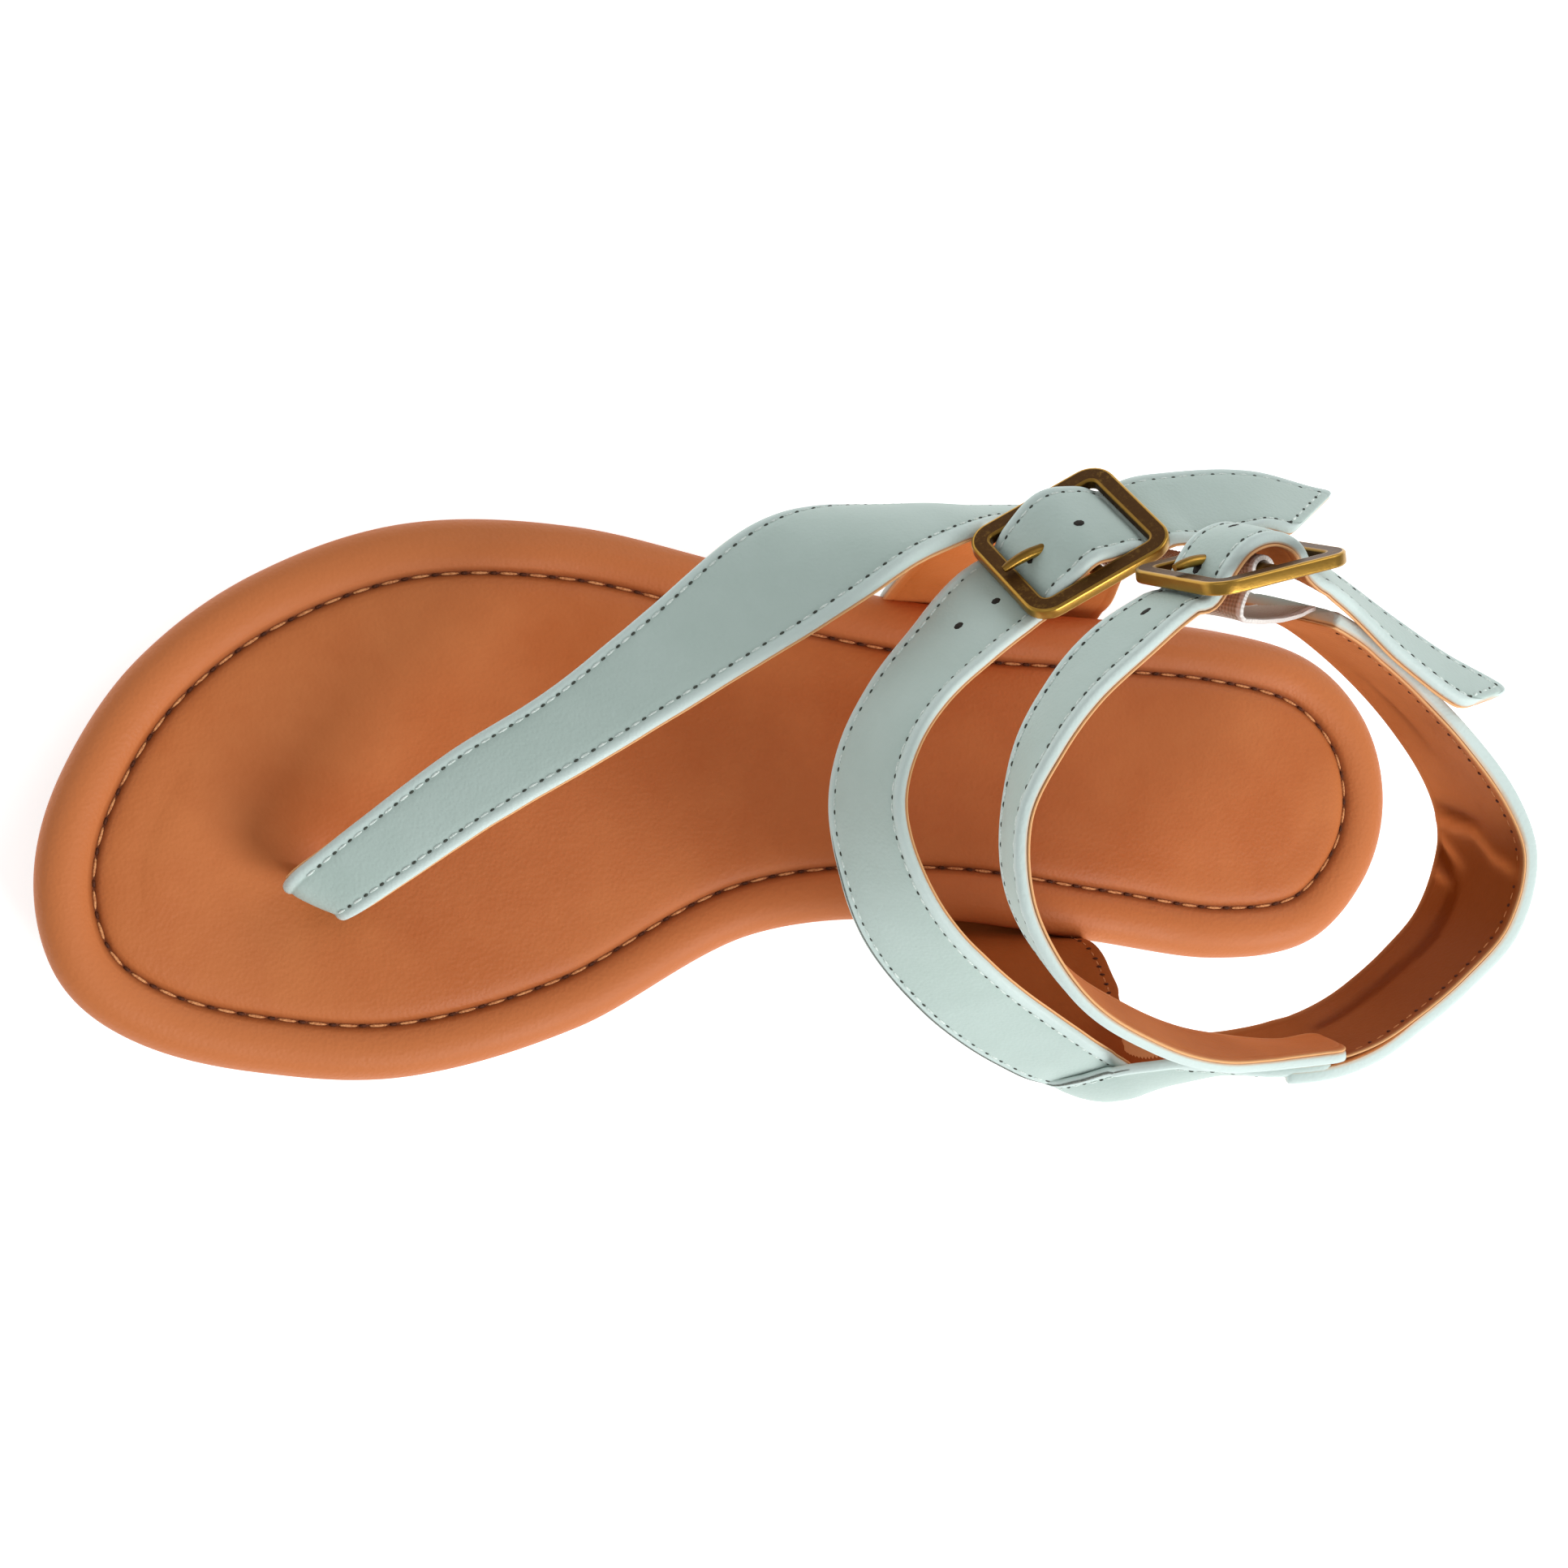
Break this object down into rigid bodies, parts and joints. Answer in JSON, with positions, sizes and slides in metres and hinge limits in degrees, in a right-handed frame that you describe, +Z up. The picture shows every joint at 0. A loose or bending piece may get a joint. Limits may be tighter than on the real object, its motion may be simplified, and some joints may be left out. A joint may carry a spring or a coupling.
{
  "type": "ankle strap sandal",
  "caption": "Flat sandal for the right foot: leather thong strap, instep and ankle straps with buckles, heel strap, padded footbed and low sole.",
  "frame": {"origin": "middle of the sandal's footprint on the floor", "axes": "+X from the toe to the heel, +Y towards the outer side of the right foot, +Z up"},
  "size_m": [0.2504, 0.1086, 0.1072],
  "materials": {
    "brown_rubber": "matte moulded rubber",
    "tan_leather": "smooth satin leather",
    "mint_leather": "fine-grained satin leather with a tan lining",
    "antique_brass": "dark antique plating rubbed bright on the edges",
    "beige_elastic": "ribbed woven elastic"
  },
  "bodies": {
    "root": {"outsole": "brown_rubber", "footbed": "tan_leather", "upper": "mint_leather", "buckle_frame_instep": "antique_brass", "buckle_prong_instep": "antique_brass", "buckle_frame_ankle": "antique_brass", "buckle_prong_ankle": "antique_brass", "elastic_instep": "beige_elastic", "elastic_ankle": "beige_elastic"}
  },
  "joints": []
}
